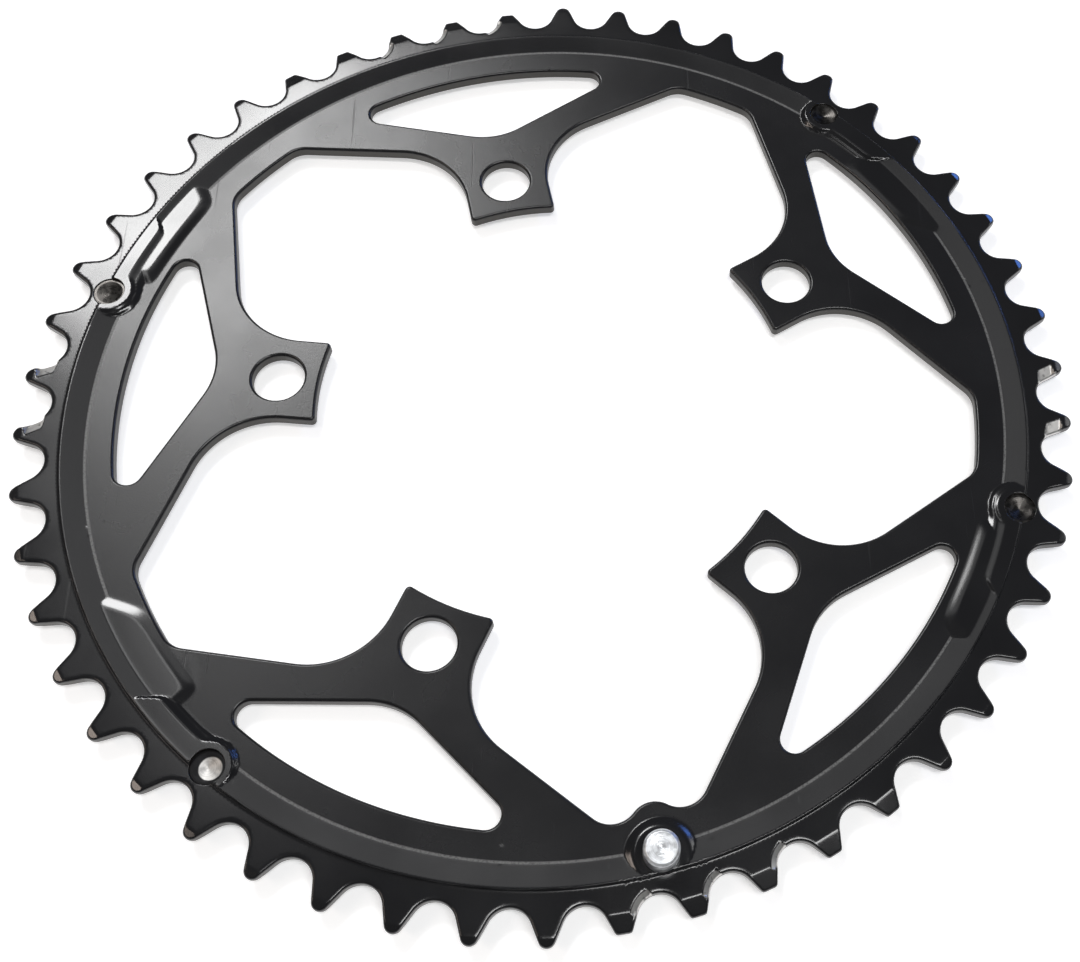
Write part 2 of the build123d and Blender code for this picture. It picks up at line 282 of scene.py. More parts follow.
def star_outline():
    """Edge of the middle opening: tab ends, flared tab sides, arms and lobes."""
    corner = np.array([math.sqrt(TAB_END_R**2 - TAB_HALF_W**2), TAB_HALF_W])
    flare = arc((TAB_SIDE_X, TAB_HALF_W + FLARE_R), FLARE_R, -90, -ARM_LEAN)
    knee = reach(flare[-1], ARM_LEAN, LOBE_R)
    knee_a, corner_a = angle_of(knee), angle_of(corner)
    up = np.vstack([[corner], flare, [knee]])
    down = up[::-1] * [1, -1]
    bump = bump_outline()
    bump_a = angle_of(bump[-1])
    runs, radii = [], []
    for k in range(BOLT_COUNT):
        a = BOLT_A + k * BOLT_STEP
        start, middle, end = a + knee_a, a + BOLT_STEP / 2, a + BOLT_STEP - knee_a
        if k == BUMP_LOBE:
            before = arc((0, 0), LOBE_R, start, middle - bump_a, 12)
            after = arc((0, 0), LOBE_R, middle + bump_a, end, 12)
            lobe = np.vstack([before, turned(bump, middle), after])
        else:
            lobe = arc((0, 0), LOBE_R, start, end)
        tab_end = arc((0, 0), TAB_END_R, -corner_a, corner_a)
        runs += [turned(tab_end, a), turned(up, a), lobe, turned(down, a + BOLT_STEP)]
        radii += [TAB_CORNER_R, KNEE_R, KNEE_R, TAB_CORNER_R]
    return chain(runs, radii)


def window_outline(a):
    """Edge of the window outside the bolt hole at an angle."""
    root = np.array([WINDOW_ROOT_X, 0.0])
    end = reach(root, WINDOW_LEAN, WINDOW_R)
    end_a = angle_of(end)
    runs = [[root, end], arc((0, 0), WINDOW_R, end_a, -end_a, 120), [end * [1, -1], root]]
    return turned(chain(runs, [WINDOW_END_R, WINDOW_END_R, WINDOW_ROOT_R]), a)


# Heights of the two faces
def smooth(t):
    """Zero below 0, one above 1, with an even bend between."""
    t = np.clip(t, 0, 1)
    return t * t * (3 - 2 * t)


def smax(a, b, k):
    """The larger of two values, rounded over a width k."""
    return 0.5 * (a + b + np.sqrt((a - b) ** 2 + k * k))


def smin(a, b, k):
    """The smaller of two values, rounded over a width k."""
    return 0.5 * (a + b - np.sqrt((a - b) ** 2 + k * k))


TABLE_STEP, KERNEL_HALF, BEND_SOFT = 0.02, 30, 0.07
RADII = np.arange(35, 112, TABLE_STEP)
KERNEL = np.exp(-0.5 * (np.arange(-KERNEL_HALF, KERNEL_HALF + 1) * TABLE_STEP / BEND_SOFT) ** 2)
KERNEL /= KERNEL.sum()


def soften(table):
    """Section with its bends rounded."""
    return np.convolve(np.pad(table, KERNEL_HALF, mode="edge"), KERNEL, mode="valid")


foot = np.clip((FOOT_R - RADII) / (FOOT_R - CREST_OUT), 0, 1)
top_section = np.interp(RADII, [DISH_R, CREST_IN, CREST_OUT], [WEB_Z, CREST_Z, CREST_Z])
top_section = np.where(RADII > CREST_OUT, TOOTH_Z1 + (CREST_Z - TOOTH_Z1) * foot, top_section)
TOP_TABLE = soften(top_section)
BOTTOM_TABLE = soften(np.interp(RADII, [DISH_R, DISH_R + TOOTH_Z0 / FALL], [0, TOOTH_Z0]))


def polar_of(x, y):
    """Radius and angle of points."""
    return np.hypot(x, y), np.degrees(np.arctan2(y, x))


def pad_heights(x, y, base):
    """Outer face with the pressed shift pads and the boss under the drop pin."""
    r, a = polar_of(x, y)
    z = base.copy()
    for pad in PADS:
        back = -((a - pad["pin"] + 180) % 360 - 180)
        near = (np.abs(back) < PAD_REACH) & (r > PAD_IN_R) & (r < CREST_OUT)
        rr, bk = r[near], back[near]
        per_degree = np.radians(1) * rr
        low_z = WEB_Z + FALL * (pad["low_r"][1] - DISH_R)
        high_end = HIGH_END_STEEP * (pad["high_back"] + HIGH_SKEW * (rr - HIGH_MID_R) - bk) * per_degree
        high_in = smin(rr - pad["high_r"], high_end, HIGH_END_SOFT)
        high_in = smin(high_in, HIGH_PIN_STEEP * bk * per_degree, HIGH_PIN_SOFT)
        from_pin = np.hypot(rr * np.cos(np.radians(bk)) - pad["pin_r"], rr * np.sin(np.radians(bk)))
        high_in = smax(high_in, DISC_STEEP * (PIN_DISC_R - from_pin), DISC_SOFT)
        run, last_run = pad["high_run"]
        high = CREST_Z - (CREST_Z - low_z) * smooth(-high_in / run)
        high -= (low_z - WEB_Z + PAD_SINK) * smooth((-high_in - run + STAGE_OVERLAP) / last_run)
        low_end = (pad["low_back"][1] + pad["low_skew"] * (rr - LOW_MID_R) - bk) * per_degree
        low_in = smin(rr - pad["low_r"][0], LOW_END_STEEP * low_end, LOW_END_SOFT)
        low_in = smin(low_in, (bk - pad["low_back"][0]) * per_degree, LOW_PIN_SOFT)
        low = WEB_Z - PAD_SINK + (low_z - WEB_Z + PAD_SINK) * smooth((low_in + LOW_RUN) / LOW_RUN)
        lifted = smax(smax(z[near], low, PAD_SOFT), high, PAD_SOFT)
        z[near] += smooth((CREST_OUT - rr) / CREST_FADE) * (lifted - z[near])
    d = np.hypot(x - DROP_XY[0], y - DROP_XY[1])
    near = (d < BOSS_REACH) & (r < CREST_OUT)
    rise = smooth((BOSS_R - d[near] + BOSS_SLOPE) / BOSS_SLOPE)
    lifted = smax(z[near], WEB_Z - BOSS_SINK + (CREST_Z - WEB_Z + BOSS_SINK) * rise, PAD_SOFT)
    z[near] += smooth((CREST_OUT - r[near]) / CREST_FADE) * (lifted - z[near])
    return z


def tooth_local(x, y):
    """Number of the nearest tooth, and the places along and across its axis."""
    r, a = polar_of(x, y)
    n = np.round((a - TIP_A) / STEP).astype(int)
    t = np.radians(a - TIP_A - n * STEP)
    return n % TEETH, r * np.cos(t), r * np.sin(t)


def edge_depth(u, v):
    """Distance of tooth points inside the flank and root on the +v side, and the turn about the root."""
    seat_end = np.array([PITCH_R - SEAT_R * math.sin(LEAN), -SEAT_R * math.cos(LEAN)])
    foot_u, foot_v = turned([seat_end], STEP / 2)[0]
    across = -((u - foot_u) * math.sin(TIP_LEAN) + (v - foot_v) * math.cos(TIP_LEAN))
    along = (u - foot_u) * math.cos(TIP_LEAN) - (v - foot_v) * math.sin(TIP_LEAN)
    seat_u, seat_v = polar(PITCH_R, STEP / 2)
    from_seat = np.hypot(u - seat_u, v - seat_v) - SEAT_R
    turn = (np.degrees(np.arctan2(v - seat_v, u - seat_u)) - STEP / 2) % 360 - 180
    return np.where(along < 0, from_seat, across), turn


def flank_cut(n, u, v):
    """Height of the flank bevels of the hook and gate teeth, far above the face elsewhere."""
    far_above, deepest = 9.0, 4
    z = np.full(np.shape(u), far_above)
    for group, side, (width, depth) in ((HOOK, 1, HOOK_BEVEL), (GATE, -1, GATE_BEVEL)):
        depth_in, turn = edge_depth(u, v * side)
        plane = TOOTH_Z1 - (width - np.clip(depth_in, 0, deepest)) * depth / width
        if group is HOOK:
            start = smooth((HOOK_TURN[1] - turn) / (HOOK_TURN[1] - HOOK_TURN[0]))
            end = smooth((u - HOOK_END) / FACET_FADE)
        else:
            start = smooth((GATE_SPAN[0] - u) / FACET_FADE)
            end = smooth((u - GATE_SPAN[1]) / FACET_FADE)
        plane += FACET_LIFT * start + FACET_LIFT * end
        z = np.where(np.isin(n, group), plane, z)
    return z


def top_z(x, y):
    """Height of the outer face."""
    x, y = np.asarray(x, float), np.asarray(y, float)
    r, _ = polar_of(x, y)
    z = pad_heights(x, y, np.interp(r, RADII, TOP_TABLE))
    n, u, v = tooth_local(x, y)
    bevel = TOOTH_Z1 - (u - (TIP_R - TIP_BEVEL[0])) * TIP_BEVEL[1] / TIP_BEVEL[0]
    short = TOOTH_Z1 - (u - (SHORT_R - SHORT_BEVEL[0])) * SHORT_BEVEL[1] / SHORT_BEVEL[0]
    bevel = np.where(np.isin(n, SHORT), short, bevel)
    bevel = np.minimum(bevel, flank_cut(n, u, v))
    depth_in, _ = edge_depth(u, np.abs(v))
    z = z - ROLL * np.clip(1 - depth_in / ROLL_W, 0, 1) ** 2 * (r > ROLL_FROM)
    return np.where(r > BEVEL_FROM, smin(z, bevel, BEVEL_SOFT), z)


def bottom_z(x, y):
    """Height of the inner face, which is hollow where the outer face is pressed up."""
    x, y = np.asarray(x, float), np.asarray(y, float)
    r, _ = polar_of(x, y)
    base = np.interp(r, RADII, TOP_TABLE)
    pressed = np.maximum(0, pad_heights(x, y, base) - base - PAD_SOFT)
    z = np.interp(r, RADII, BOTTOM_TABLE) + PRESS_THROUGH * pressed
    _, u, _ = tooth_local(x, y)
    bevel = TOOTH_Z0 + (u - (TIP_R - TIP_BEVEL[0])) * TIP_BEVEL[1] / TIP_BEVEL[0]
    return np.where(r > UNDER_BEVEL_FROM, smax(z, bevel, BEVEL_SOFT), z)


def gradient_normals(height, x, y, up):
    """Unit normals of a face given by its height, turned up or down."""
    h = 0.03
    slope_x = (height(x + h, y) - height(x - h, y)) / (2 * h)
    slope_y = (height(x, y + h) - height(x, y - h)) / (2 * h)
    n = np.c_[-slope_x, -slope_y, np.ones(len(x))]
    n /= np.linalg.norm(n, axis=1)[:, None]
    return n * up


def bare_mark(points):
    """One on the flank bevels, where the chain has rubbed the coat away, and zero elsewhere."""
    skip, band, above_inner = 0.02, 0.2, 0.4
    n, u, v = tooth_local(points[:, 0], points[:, 1])
    worn = np.clip((TOOTH_Z1 - skip - flank_cut(n, u, v)) / band, 0, 1)
    return worn * (points[:, 2] > TOOTH_Z0 + above_inner) * (u > BEVEL_FROM)


def pad_mark(points):
    """One on the pressed pads and the boss, zero on the plain web and rim."""
    full_height = 0.08
    base = np.interp(np.hypot(points[:, 0], points[:, 1]), RADII, TOP_TABLE)
    return np.clip((pad_heights(points[:, 0], points[:, 1], base) - base) / full_height, 0, 1)


# Meshes
class Mesh:
    """Points with their own normals and a wall mark, and triangles."""

    def __init__(self):
        self.points, self.normals, self.walls, self.triangles = [], [], [], []
        self.size = 0

    def add(self, points, normals, wall):
        """Add points and return their numbers."""
        start = self.size
        self.points.append(np.asarray(points, float))
        self.normals.append(np.asarray(normals, float))
        self.walls.append(np.full(len(points), float(wall)))
        self.size += len(points)
        return np.arange(start, self.size)

    def strip(self, a, b, flip):
        """Join two closed rings of the same length."""
        a2, b2 = np.roll(a, -1), np.roll(b, -1)
        t = np.vstack([np.c_[a, b, b2], np.c_[a, b2, a2]])
        self.triangles.append(t[:, ::-1] if flip else t)

    def build(self, name):
        """Object with this mesh and its marks."""
        points = np.vstack(self.points)
        marks = {"wall": np.concatenate(self.walls), "bare": bare_mark(points), "pad": pad_mark(points)}
        mesh = bpy.data.meshes.new(name)
        mesh.from_pydata((points * MM).tolist(), [], np.vstack(self.triangles).tolist())
        mesh.polygons.foreach_set("use_smooth", [True] * len(mesh.polygons))
        for mark, values in marks.items():
            mesh.attributes.new(mark, "FLOAT", "POINT").data.foreach_set("value", values)
        mesh.update()
        mesh.normals_split_custom_set_from_vertices(np.vstack(self.normals).tolist())
        piece = bpy.data.objects.new(name, mesh)
        bpy.context.collection.objects.link(piece)
        return piece


def edge_rings(mesh, loop, hole, rounding):
    """Rounded edge, wall and lower edge along an outline.

    Returns the rings of points at its top and bottom, and the outlines of the two faces there.
    """
    round_top, round_bottom = rounding
    normals = side_normals(np.vstack([loop[-2:], loop, loop[:2]]))[2:-2]
    out = normals if hole else -normals
    side = np.c_[out, np.zeros(len(out))]
    rings = []
    inset = loop - out * round_top
    top = top_z(inset[:, 0], inset[:, 1])
    top_normals = gradient_normals(top_z, inset[:, 0], inset[:, 1], 1)
    for i in range(EDGE_STEPS + 1):
        f = math.pi / 2 * i / EDGE_STEPS
        xy = loop - out * round_top * (1 - math.sin(f))
        wall = 1 if i == EDGE_STEPS else 0.25 * (i > 0)
        points = np.c_[xy, top - round_top * (1 - math.cos(f))]
        rings.append(mesh.add(points, top_normals * math.cos(f) + side * math.sin(f), wall))
    inset_bottom = loop - out * round_bottom
    bottom = bottom_z(inset_bottom[:, 0], inset_bottom[:, 1])
    bottom_normals = gradient_normals(bottom_z, inset_bottom[:, 0], inset_bottom[:, 1], -1)
    for i in range(3):
        f = math.pi / 4 * i
        xy = loop - out * round_bottom * (1 - math.cos(f))
        points = np.c_[xy, bottom + round_bottom * (1 - math.sin(f))]
        rings.append(mesh.add(points, bottom_normals * math.sin(f) + side * math.cos(f), 1 - 0.5 * i))
    for a, b in zip(rings, rings[1:]):
        mesh.strip(a, b, hole)
    return rings[0], rings[-1], inset, inset_bottom


def cover(mesh, loops, rings, points, height, up):
    """Triangles of a face between its outlines, the outer one first, with extra points inside."""
    clearance, tolerance, inside_only = 0.16, 1e-6, 1
    xy = np.vstack(loops)
    tree = kdtree.KDTree(len(xy))
    for i, p in enumerate(xy):
        tree.insert((p[0], p[1], 0), i)
    tree.balance()
    keep = [tree.find((p[0], p[1], 0))[2] > clearance for p in points]
    points = points[np.array(keep)]
    for loop in loops[1:]:
        points = points[~inside(points, loop)]
    edges, start = [], 0
    for loop in loops:
        k = np.arange(len(loop))
        edges += list(zip((start + k).tolist(), (start + np.roll(k, -1)).tolist()))
        start += len(loop)
    corners = [Vector(p) for p in np.vstack([xy, points])]
    places, _, faces, origin, _, _ = delaunay_2d_cdt(corners, edges, [], inside_only, tolerance)
    places = np.array([p[:] for p in places])
    faces = np.array([list(face) for face in faces])
    middle = places[faces].mean(1)
    solid = np.ones(len(faces), bool)
    for loop in loops[1:]:
        solid &= ~inside(middle, loop)
    faces = faces[solid]
    ring_points = np.concatenate(rings)
    index = np.full(len(places), -1)
    used = set(faces.ravel().tolist())
    extra = []
    for i, source in enumerate(origin):
        if source and source[0] < len(ring_points):
            index[i] = ring_points[source[0]]
        elif i in used:
            extra.append(i)
    x, y = places[extra].T
    index[extra] = mesh.add(np.c_[x, y, height(x, y)], gradient_normals(height, x, y, up), 0)
    triangles = index[faces]
    mesh.triangles.append(triangles if up > 0 else triangles[:, ::-1])


def face_points():
    """Points inside the faces, close together where the section, a pad or a tooth bends."""
    pad_span = (-5, 26)
    crest = [CREST_IN - 0.1, CREST_IN, CREST_OUT, CREST_OUT + 0.09, CREST_OUT + 0.18, FOOT_R, FOOT_R + 0.1]
    painted_crease_highlight = [DISH_R - 0.12, DISH_R, DISH_R + 0.12]
    grid = []
    for r in np.r_[np.arange(85.2, 93.9, 0.45), painted_crease_highlight, crest, np.arange(94.8, 97.0, 0.3)]:
        a = np.arange(0, 360, 0.5) + (0 if r in crest else (r * 7.3) % 0.5)
        off_pads = np.ones(len(a), bool)
        for pad in PADS:
            back = (pad["pin"] - a + 180) % 360 - 180
            off_pads &= ~((back > pad_span[0]) & (back < pad_span[1]))
        a = np.radians(a[off_pads | (r > 94.4)])
        grid.append(np.c_[r * np.cos(a), r * np.sin(a)])
    for d in np.arange(2.7, 8.0, 0.35):
        grid.append(arc(DROP_XY, d, 0, 357, 90))
    for n in range(TEETH):
        gap = 0.2 if n in HOOK + GATE else 0.36
        first = 96.4 if n in HOOK else 97.2
        u, v = np.meshgrid(np.arange(first, TIP_R, gap), np.arange(-5.6, 5.6, gap))
        own = np.abs(np.degrees(np.arctan2(v, u))) < STEP / 2
        grid.append(turned(np.c_[u[own], v[own]], TIP_A + n * STEP))
    ring_gap, turn_gap = 0.34, 0.22
    for pad in PADS:
        rings = np.r_[np.arange(84.4, 93.9, ring_gap), crest]
        r, a = np.meshgrid(rings, pad["pin"] - np.arange(*pad_span, turn_gap))
        a = np.radians(a + turn_gap / 2 * (np.round(r / ring_gap) % 2))
        grid.append(np.c_[(r * np.cos(a)).ravel(), (r * np.sin(a)).ravel()])
    x, y = np.meshgrid(np.arange(-86, 86, 4.0), np.arange(-86, 86, 4.0))
    web = np.hypot(x, y) < 84
    grid.append(np.c_[x[web], y[web]])
    return np.vstack(grid)


def build_plate():
    """Skin of the plate: edges and walls along its outlines, and the two faces between them."""
    mesh = Mesh()
    bolt_turns = [BOLT_A + k * BOLT_STEP for k in range(BOLT_COUNT)]
    openings = [thin(star_outline(), 6.0, 3.0)]
    openings += [thin(window_outline(a), 6.0, 2.0) for a in bolt_turns]
    openings += [thin(arc(polar(BOLT_R, a), BOLT_HOLE_R, 0, 359, 240), 6.0, 2.0) for a in bolt_turns]
    bores = [arc(polar(pad["pin_r"], pad["pin"]), PIN_R, 0, 352.5, 48) for pad in PADS]
    bores.append(arc(DROP_XY, DROP_BORE_R, 0, 352.5, 48))
    done = [edge_rings(mesh, thin(tooth_outline(), 9.0, 1.2), False, TOOTH_ROUND)]
    done += [edge_rings(mesh, loop, True, OPENING_ROUND) for loop in openings]
    done += [edge_rings(mesh, loop, True, BORE_ROUND) for loop in bores]
    top_rings, bottom_rings, top_loops, bottom_loops = zip(*done)
    points = face_points()
    under = points[np.random.default_rng(4).random(len(points)) < 0.2]
    cover(mesh, top_loops, top_rings, points, top_z, 1)
    cover(mesh, bottom_loops, bottom_rings, under, bottom_z, -1)
    return mesh.build("plate_skin")


def lathe(name, profile, centre):
    """Turned piece from (radius, height) points, from the bottom up, with a flat band between each two."""
    segments, least_r = 96, 1e-3
    mesh = Mesh()
    a = np.linspace(0, 2 * math.pi, segments + 1)[:-1]
    out = np.c_[np.cos(a), np.sin(a)]
    for (r0, z0), (r1, z1) in zip(profile, profile[1:]):
        length = math.hypot(r1 - r0, z1 - z0)
        normals = np.c_[out * (z1 - z0) / length, np.full(segments, (r0 - r1) / length)]
        pair = []
        for r, z in ((r0, z0), (r1, z1)):
            points = np.c_[centre + out * max(r, least_r), np.full(segments, z)]
            pair.append(mesh.add(points, normals, 0))
        mesh.strip(*pair, True)
    return mesh.build(name)


def rounded_profile(points, radius):
    """Profile with each inner corner rounded by short facets."""
    facets, most = 5, 0.45
    p = [np.array(point, float) for point in points]
    out = [p[0]]
    for a, b, c in zip(p, p[1:], p[2:]):
        before, after = np.linalg.norm(a - b), np.linalg.norm(c - b)
        cut = min(radius, most * before, most * after)
        start, end = b + (a - b) / before * cut, b + (c - b) / after * cut
        for t in np.linspace(0, 1, facets):
            out.append((1 - t) ** 2 * start + 2 * t * (1 - t) * b + t * t * end)
    out.append(p[-1])
    return out


# Shader helpers
def material(name):
    """New material, with its node tree and its shader."""
    made = bpy.data.materials.new(name)
    made.use_nodes = True
    tree = made.node_tree
    tree.nodes.clear()
    output = tree.nodes.new("ShaderNodeOutputMaterial")
    shader = tree.nodes.new("ShaderNodeBsdfPrincipled")
    tree.links.new(shader.outputs[0], output.inputs[0])
    return made, tree, shader


def put(tree, socket, value):
    """Link a socket to an output, or set it to a constant."""
    if hasattr(value, "is_output"):
        tree.links.new(value, socket)
    else:
        socket.default_value = value


def node(tree, kind, inputs=None, **settings):
    """New node with its settings and inputs."""
    made = tree.nodes.new(kind)
    for key, value in settings.items():
        setattr(made, key, value)
    for key, value in (inputs or {}).items():
        put(tree, made.inputs[key], value)
    return made


def math_node(tree, operation, a, b=0.0):
    """Sum, product or the like of two values."""
    return node(tree, "ShaderNodeMath", {0: a, 1: b}, operation=operation).outputs[0]


def ramp(tree, value, low, high, start=0.0, end=1.0):
    """Smooth step of a value, from start at low to end at high."""
    inputs = {"Value": value, "From Min": low, "From Max": high, "To Min": start, "To Max": end}
    return node(tree, "ShaderNodeMapRange", inputs, interpolation_type="SMOOTHSTEP").outputs[0]


def mix_rgb(tree, share, a, b):
    """Mix of two colours."""
    return node(tree, "ShaderNodeMix", {0: share, 6: a, 7: b}, data_type="RGBA").outputs[2]


def noise(tree, vector, scale, detail=3.0):
    """Cloudy noise, mostly between 0.3 and 0.7."""
    inputs = {"Vector": vector, "Scale": scale, "Detail": detail}
    return node(tree, "ShaderNodeTexNoise", inputs).outputs[0]


def mark_of(tree, name):
    """Mark that the mesh carries at its points."""
    return node(tree, "ShaderNodeAttribute", attribute_name=name).outputs["Fac"]


def radius_of(tree, place, centre=(0.0, 0.0)):
    """Distance from an upright axis, in millimetres."""
    shift = (-centre[0] * MM, -centre[1] * MM, 0)
    moved = node(tree, "ShaderNodeVectorMath", {0: place, 1: shift}, operation="ADD").outputs[0]
    flat = node(tree, "ShaderNodeVectorMath", {0: moved, 1: (1, 1, 0)}, operation="MULTIPLY").outputs[0]
    length = node(tree, "ShaderNodeVectorMath", {0: flat}, operation="LENGTH").outputs["Value"]
    return math_node(tree, "DIVIDE", length, MM)


def scratches(tree, place, turn, scale, keep):
    """Sparse fine lines along one direction, one on a line and zero beside it."""
    inputs = {"Vector": place, "Rotation": (0, 0, turn), "Scale": (1, 0.03, 1)}
    stretched = node(tree, "ShaderNodeMapping", inputs).outputs[0]
    return ramp(tree, noise(tree, stretched, scale, 2.0), keep, keep + 0.06)


def plate_material():
    """Satin black coat: matter on the web, glossy on the rim and pads, worn on the flank bevels."""
    made, tree, shader = material("black_satin")
    place = node(tree, "ShaderNodeTexCoord").outputs["Object"]
    wall = ramp(tree, mark_of(tree, "wall"), 0.3, 0.9)
    bare, pad = mark_of(tree, "bare"), mark_of(tree, "pad")
    radius = radius_of(tree, place)
    cloud = noise(tree, place, 60.0, 4.0)
    grain = noise(tree, place, 2600.0, 2.0)
    fine = noise(tree, place, 900.0)

    # The coat turns glossy at the crease where the dish begins, and a pale grainy line along the crease is a
    # painted highlight
    crease_r = 89.8
    gloss = math_node(tree, "MAXIMUM", ramp(tree, radius, crease_r - 0.1, crease_r + 0.8), pad)
    off_crease = math_node(tree, "ABSOLUTE", math_node(tree, "SUBTRACT", radius, crease_r))
    painted_crease_highlight = ramp(tree, off_crease, 0.10, 0.34, 1, 0)
    painted_crease_highlight = math_node(tree, "MULTIPLY", painted_crease_highlight, ramp(tree, grain, 0.3, 0.6, 0.35, 1))
    painted_crease_highlight = math_node(tree, "MULTIPLY", painted_crease_highlight, ramp(tree, pad, 0.0, 0.5, 1, 0))

    # Handling marks: fine scratches in two directions, specks of dust, and bare metal in patches
    one_way, other_way = scratches(tree, place, 0.5, 900.0, 0.71), scratches(tree, place, 1.9, 700.0, 0.73)
    lines = math_node(tree, "MAXIMUM", one_way, other_way)
    cell = node(tree, "ShaderNodeTexVoronoi", {"Vector": place, "Scale": 90.0})
    few = ramp(tree, cell.outputs["Color"], 0.72, 0.76)
    speck = math_node(tree, "MULTIPLY", ramp(tree, cell.outputs["Distance"], 0.008, 0.018, 1, 0), few)
    worn = math_node(tree, "MULTIPLY", ramp(tree, bare, 0.2, 0.8), ramp(tree, fine, 0.25, 0.5, 0.25, 1))

    colour = mix_rgb(tree, cloud, (0.009, 0.009, 0.010, 1), (0.015, 0.015, 0.016, 1))
    # Painted highlight: a pale grainy line along the crease, also made a little rougher
    colour = mix_rgb(tree, painted_crease_highlight, colour, (0.16, 0.16, 0.155, 1))
    colour = mix_rgb(tree, speck, colour, (0.22, 0.22, 0.21, 1))
    # Painted light: the walls get a paler brown tone that stands in for the bright floor's light on them
    colour = mix_rgb(tree, wall, colour, (0.030, 0.027, 0.022, 1))
    colour = mix_rgb(tree, worn, colour, (0.66, 0.65, 0.63, 1))
    rough = ramp(tree, gloss, 0, 1, 0.245, 0.15)
    rough = math_node(tree, "ADD", rough, ramp(tree, cloud, 0.3, 0.7, 0.0, 0.04))
    for mask, more in ((painted_crease_highlight, 0.25), (wall, 0.12), (worn, 0.2), (lines, 0.06)):
        rough = math_node(tree, "ADD", rough, math_node(tree, "MULTIPLY", mask, more))
    height = math_node(tree, "SUBTRACT", grain, math_node(tree, "MULTIPLY", lines, 0.8))
    strength = ramp(tree, gloss, 0, 1, 0.05, 0.006)
    bump = node(tree, "ShaderNodeBump", {"Height": height, "Strength": strength, "Distance": 0.0002})
    put(tree, shader.inputs["Base Color"], colour)
    put(tree, shader.inputs["Metallic"], worn)
    put(tree, shader.inputs["Roughness"], rough)
    put(tree, shader.inputs["Specular IOR Level"], ramp(tree, gloss, 0, 1, 0.46, 0.6))
    put(tree, shader.inputs["Normal"], bump.outputs[0])
    return made


def steel_material(name, centre, tone, rough, ring_depth, disc_r):
    """Turned steel with fine rings and stains; beyond the disc's radius it is dark: black coat and, where
    the disc is set off the axis, a painted shadow of the bore's rim.
    """
    made, tree, shader = material(name)
    place = node(tree, "ShaderNodeTexCoord").outputs["Object"]
    from_axis = node(tree, "ShaderNodeCombineXYZ", {0: radius_of(tree, place, centre)}).outputs[0]
    ring = noise(tree, from_axis, 4.2)
    stain = noise(tree, place, 900.0, 4.0)
    stain_part, ring_part = math_node(tree, "MULTIPLY", stain, 0.6), math_node(tree, "MULTIPLY", ring, 0.4)
    shade = ramp(tree, math_node(tree, "ADD", stain_part, ring_part), 0.35, 0.62)
    dark = tuple(0.6 * value for value in tone)
    steel = mix_rgb(tree, shade, (*dark, 1), (*tone, 1))
    # The bright disc sits off the axis toward the front right, so the dark crescent left at the back left is
    # a painted shadow of the bore's rim
    unshaded_disc_centre = centre + np.array([0.5, -0.2])
    coat_and_painted_shadow = ramp(tree, radius_of(tree, place, unshaded_disc_centre), disc_r, disc_r + 0.25)
    bump = node(tree, "ShaderNodeBump", {"Height": ring, "Strength": ring_depth, "Distance": 0.0001})
    put(tree, shader.inputs["Base Color"], mix_rgb(tree, coat_and_painted_shadow, steel, (0.02, 0.02, 0.021, 1)))
    put(tree, shader.inputs["Metallic"], 1.0)
    put(tree, shader.inputs["Roughness"], ramp(tree, stain, 0.3, 0.7, rough, rough + 0.12))
    put(tree, shader.inputs["Normal"], bump.outputs[0])
    return made


# Pieces
plate = build_plate()
plate.data.materials.append(plate_material())
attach(plate, "root")
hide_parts("chainring_plate")

WHOLE_END = 9.0
drop_top = CREST_Z + DROP_PIN_H
drop_profile = [
    (0, 0),
    (DROP_SHANK_R, 0),
    (DROP_SHANK_R, CREST_Z),
    (DROP_PIN_R, CREST_Z),
    (DROP_PIN_R, drop_top - DROP_CHAMFER),
    (DROP_PIN_R - DROP_CHAMFER, drop_top),
    (0, drop_top),
]
drop = lathe("drop_pin_skin", rounded_profile(drop_profile, 0.15), DROP_XY)
drop.data.materials.append(steel_material("turned_steel", DROP_XY, (0.86, 0.88, 0.90), 0.33, 0.8, WHOLE_END))
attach(drop, "root")
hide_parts("chain_drop_pin")

# The ends of the shift pins are dark, apart from one whose middle is rubbed bright; the dark crescent beside
# its off-centre disc is partly black coat and partly a painted shadow of the bore's rim
RUBBED_PIN = 3
pin_top = CREST_Z - PIN_SINK
skin_r = PIN_R - PIN_GAP
pin_profile = [
    (0, -PIN_REACH),
    (skin_r - PIN_CHAMFER, -PIN_REACH),
    (skin_r, PIN_CHAMFER - PIN_REACH),
    (skin_r, pin_top),
    (skin_r - PIN_RIM, pin_top),
    (0, pin_top - PIN_DISH),
]
for number, pad in enumerate(PADS, start=1):
    centre = polar(pad["pin_r"], pad["pin"])
    pin = lathe(f"shift_pin_skin_{number}", rounded_profile(pin_profile, 0.12), centre)
    if number == RUBBED_PIN:
        tone, rough, disc_r = (0.62, 0.61, 0.59), 0.42, 1.9
    else:
        tone, rough, disc_r = (0.09, 0.085, 0.08), 0.22, WHOLE_END
    pin.data.materials.append(steel_material(f"pin_steel_{number}", centre, tone, rough, 0.2, disc_r))
    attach(pin, "root")
    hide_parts(f"shift_pin_{number}")

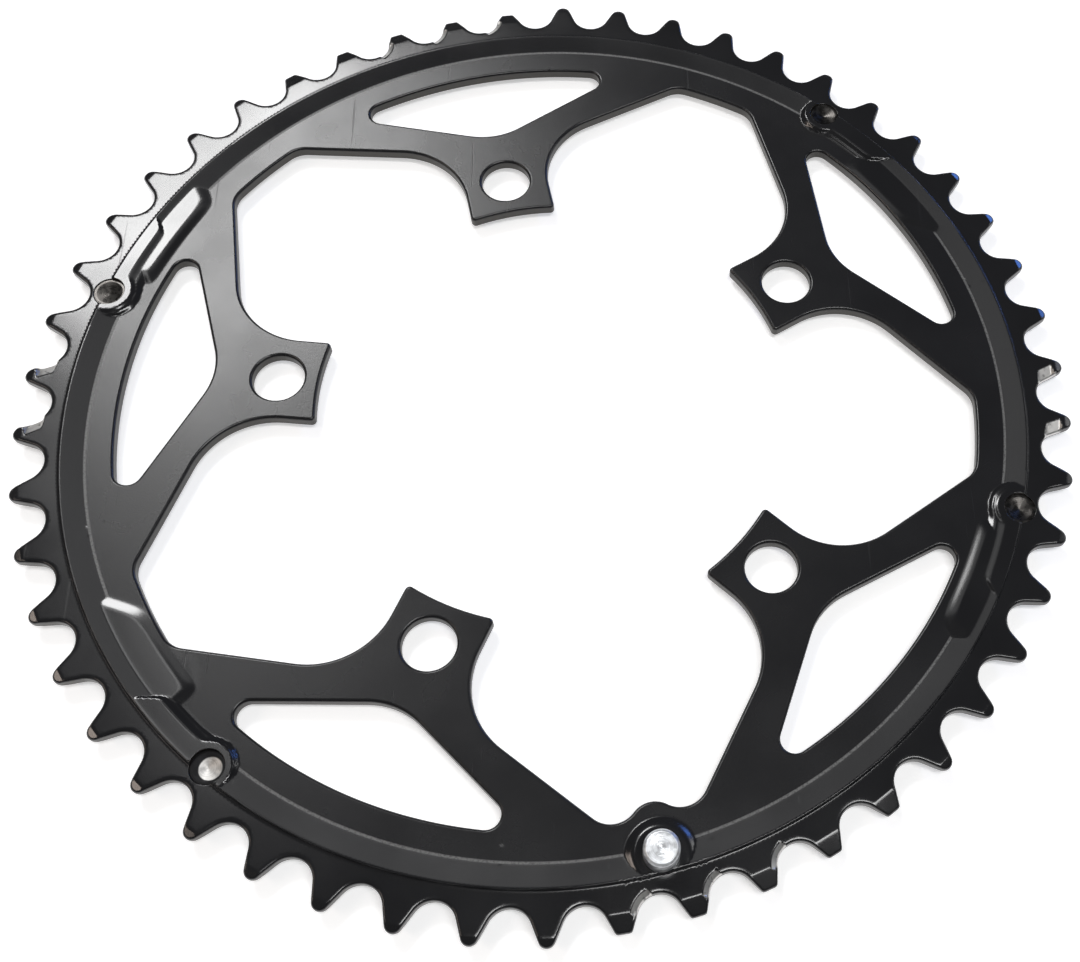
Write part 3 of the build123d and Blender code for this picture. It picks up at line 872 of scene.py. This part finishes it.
# Floor: pale paper under the pins, with a little light of its own to stay white
FLOOR_HALF = 3.0
FLOOR_Z = -PIN_REACH * MM
floor_mesh = bpy.data.meshes.new("floor")
signs = [(-1, -1), (1, -1), (1, 1), (-1, 1)]
floor_corners = [(x * FLOOR_HALF, y * FLOOR_HALF, FLOOR_Z) for x, y in signs]
floor_mesh.from_pydata(floor_corners, [], [(0, 1, 2, 3)])
floor = bpy.data.objects.new("floor", floor_mesh)
bpy.context.collection.objects.link(floor)
paper, tree, shader = material("paper")
mottle = noise(tree, node(tree, "ShaderNodeTexCoord").outputs["Object"], 30.0)
put(tree, shader.inputs["Base Color"], mix_rgb(tree, mottle, (0.83, 0.83, 0.83, 1), (0.86, 0.86, 0.86, 1)))
put(tree, shader.inputs["Roughness"], 0.9)
put(tree, shader.inputs["Specular IOR Level"], 0.1)
put(tree, shader.inputs["Emission Color"], (1, 1, 1, 1))
put(tree, shader.inputs["Emission Strength"], 0.50)
floor_mesh.materials.append(paper)


# Light: a bright box high behind the ring on the left, a lamp overhead and weaker panels around
def area(name, place, size, turn, radiance, colour=(1, 1, 1)):
    """Flat panel that faces straight down, turned about the upright axis, with an even radiance."""
    light = bpy.data.lights.new(name, "AREA")
    light.shape = "RECTANGLE"
    light.size, light.size_y = size
    light.energy = radiance * size[0] * size[1] * 4
    light.color = colour
    panel = bpy.data.objects.new(name, light)
    panel.location = place
    panel.rotation_euler = (0, 0, math.radians(turn))
    bpy.context.collection.objects.link(panel)


area("back_left", (-0.435, 0.93, 1.2), (0.48, 0.36), 51, 15.5)
area("left_sheen", (-0.44, 0.45, 1.2), (0.45, 0.14), -60, 2.6)
area("back_dim", (-0.07, 0.645, 1.2), (0.25, 0.20), 0, 0.6)
area("overhead", (0.33, -0.24, 1.2), (0.66, 0.26), 0, 10)
area("blue_back_right", (1.12, 1.27, 0.6), (0.30, 0.90), 0, 9, (0.12, 0.30, 1.0))
area("right_low", (1.17, 0.42, 0.6), (0.40, 0.50), 0, 3)
area("beige_left", (-1.02, -0.06, 0.8), (0.80, 0.22), -45, 5, (1.0, 0.85, 0.75))
world = bpy.data.worlds.new("room")
world.use_nodes = True
background = world.node_tree.nodes["Background"]
background.inputs["Color"].default_value = (0.75, 0.78, 0.82, 1)
background.inputs["Strength"].default_value = 0.08
bpy.context.scene.world = world

# Camera, from the photo's teeth and bolt holes: focal length and centre in the photo's pixels
PHOTO_W, PHOTO_H = 1080, 962
FOCAL, CENTRE_X, CENTRE_Y = 1445.96, 740.0, 421.0
SENSOR_W = 36.0
camera_data = bpy.data.cameras.new("camera")
camera_data.sensor_width = SENSOR_W
camera_data.lens = FOCAL / PHOTO_W * SENSOR_W
camera_data.shift_x = (PHOTO_W / 2 - CENTRE_X) / PHOTO_W
camera_data.shift_y = (CENTRE_Y - PHOTO_H / 2) / PHOTO_W
camera_data.clip_start, camera_data.clip_end = 0.01, 20
camera_turn = Matrix(
    (
        (0.997172, 0.014381, -0.073768),
        (-0.04718, 0.883809, -0.465463),
        (0.058503, 0.467627, 0.881988),
    )
)
camera_place = Vector((15.1614, -139.2871, 255.7257)) * MM
camera = bpy.data.objects.new("camera", camera_data)
camera.matrix_world = Matrix.Translation(camera_place) @ camera_turn.to_4x4()
bpy.context.collection.objects.link(camera)
bpy.context.scene.camera = camera
bpy.context.scene.view_settings.view_transform = "Standard"
